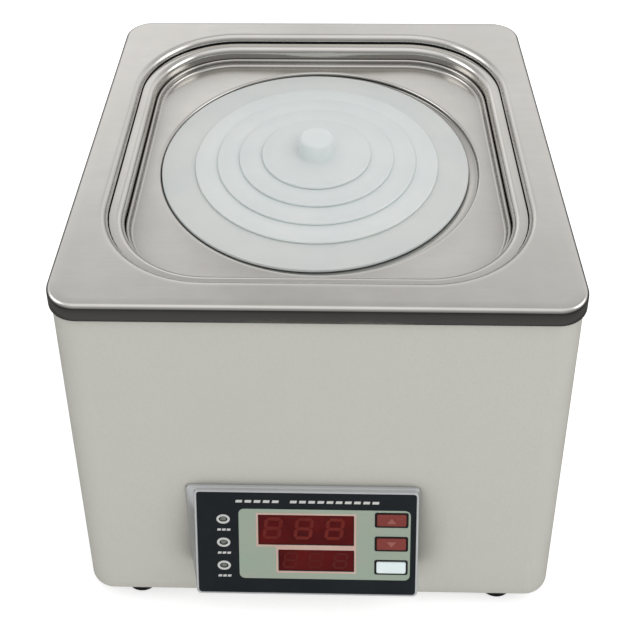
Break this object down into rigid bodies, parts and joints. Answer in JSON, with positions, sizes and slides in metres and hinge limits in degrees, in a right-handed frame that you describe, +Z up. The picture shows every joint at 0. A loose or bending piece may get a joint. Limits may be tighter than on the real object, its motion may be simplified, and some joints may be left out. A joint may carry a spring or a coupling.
{
  "type": "laboratory water bath",
  "caption": "Square thermostatic water bath: coated casing, steel top plate and tank, lift-out cover plate with nested concentric rings and knobbed cap, sloping digital controller on the front.",
  "frame": {"origin": "on the bench, under the middle of the whole footprint, controller and rear fittings included; the centre of the square casing and tank lies 4.94 mm behind it", "axes": "+Z up, +X to the right seen from the front, +Y to the back; the controller faces -Y"},
  "size_m": [0.2, 0.217, 0.173],
  "materials": {
    "powder_coat": "satin powder coat",
    "stainless_top": "brushed",
    "stainless_tank": "drawn, semi-bright",
    "stainless_cover": "brushed",
    "zinc_steel": "zinc plated",
    "foot_rubber": "matt",
    "gasket_rubber": "matt",
    "seal_silicone": "matt",
    "glass_wool": "fibrous",
    "heater_steel": "drawn tube",
    "brass_fittings": "turned",
    "black_plastic": "moulded",
    "milky_plastic": "translucent, moulded",
    "bezel_plastic": "satin",
    "printed_face": "printed film",
    "red_lens": "tinted",
    "display_black": "moulded",
    "lamp_lens": "clear",
    "circuit_board": "solder mask",
    "red_button": "printed",
    "white_button": "printed",
    "nylon": "moulded",
    "transformer_core": "varnished",
    "relay_blue": "moulded",
    "terminal_green": "moulded",
    "wire_red": "silicone sleeve",
    "fuse_glass": "clear",
    "switch_red": "moulded"
  },
  "bodies": {
    "housing": {"casing": "powder_coat", "base_plate": "powder_coat", "base_screws": "zinc_steel", "feet": "foot_rubber", "foot_screws": "zinc_steel", "foot_nuts": "zinc_steel", "top_plate": "stainless_top", "top_plate_nuts": "zinc_steel", "tank_gasket": "gasket_rubber", "tank": "stainless_tank", "insulation": "glass_wool", "heater_element": "heater_steel", "heater_fittings": "brass_fittings", "heater_nuts": "brass_fittings", "heater_seals": "seal_silicone", "temperature_probe": "heater_steel", "probe_gland": "brass_fittings", "probe_nut": "brass_fittings", "thermal_cutout": "black_plastic", "controller_bezel": "bezel_plastic", "face_plate": "printed_face", "main_window": "red_lens", "lower_window": "red_lens", "main_display": "display_black", "lower_display": "display_black", "status_lamps": "lamp_lens", "controller_board": "circuit_board", "board_screws": "zinc_steel", "tact_switches": "black_plastic", "clamp_brackets": "zinc_steel", "clamp_screws": "zinc_steel", "power_board": "circuit_board", "board_standoffs": "nylon", "transformer": "transformer_core", "relay": "relay_blue", "terminal_block": "terminal_green", "wiring": "wire_red", "inlet_housing": "black_plastic", "inlet_pins": "brass_fittings", "inlet_screws": "zinc_steel", "switch_housing": "black_plastic", "earth_stud": "brass_fittings"},
    "cover_plate": {"cover_plate": "stainless_cover"},
    "ring_1": {"ring_1": "milky_plastic"},
    "ring_2": {"ring_2": "milky_plastic"},
    "ring_3": {"ring_3": "milky_plastic"},
    "ring_4": {"ring_4": "milky_plastic"},
    "centre_cap": {"centre_cap": "milky_plastic"},
    "perforated_shelf": {"perforated_shelf": "stainless_cover"},
    "up_button": {"up_button": "red_button"},
    "down_button": {"down_button": "red_button"},
    "set_button": {"set_button": "white_button"},
    "fuse_drawer": {"fuse_drawer": "black_plastic", "fuse": "fuse_glass"},
    "switch_rocker": {"switch_rocker": "switch_red"}
  },
  "joints": [
    {"name": "cover_lift", "type": "slide", "parent": "housing", "child": "cover_plate", "axis": [0, 0, 1], "range_m": [0, 0.06]},
    {"name": "ring_1_lift", "type": "slide", "parent": "cover_plate", "child": "ring_1", "axis": [0, 0, 1], "range_m": [0, 0.03]},
    {"name": "ring_2_lift", "type": "slide", "parent": "ring_1", "child": "ring_2", "axis": [0, 0, 1], "range_m": [0, 0.03]},
    {"name": "ring_3_lift", "type": "slide", "parent": "ring_2", "child": "ring_3", "axis": [0, 0, 1], "range_m": [0, 0.03]},
    {"name": "ring_4_lift", "type": "slide", "parent": "ring_3", "child": "ring_4", "axis": [0, 0, 1], "range_m": [0, 0.03]},
    {"name": "centre_cap_lift", "type": "slide", "parent": "ring_4", "child": "centre_cap", "axis": [0, 0, 1], "range_m": [0, 0.03]},
    {"name": "shelf_lift", "type": "slide", "parent": "housing", "child": "perforated_shelf", "axis": [0, 0, 1], "range_m": [0, 0.06]},
    {"name": "up_button_press", "type": "slide", "parent": "housing", "child": "up_button", "axis": [0, 0.9707, -0.2402], "range_m": [0, 0.0004], "stiffness_N_per_m": 40},
    {"name": "down_button_press", "type": "slide", "parent": "housing", "child": "down_button", "axis": [0, 0.9707, -0.2402], "range_m": [0, 0.0004], "stiffness_N_per_m": 40},
    {"name": "set_button_press", "type": "slide", "parent": "housing", "child": "set_button", "axis": [0, 0.9707, -0.2402], "range_m": [0, 0.0004], "stiffness_N_per_m": 40},
    {"name": "fuse_drawer_slide", "type": "slide", "parent": "housing", "child": "fuse_drawer", "axis": [0, 1, 0], "range_m": [0, 0.014]},
    {"name": "power_switch_rock", "type": "hinge", "parent": "housing", "child": "switch_rocker", "pos_m": [0, 0.10419, 0.031], "axis": [1, 0, 0], "range_deg": [0, 24]}
  ]
}
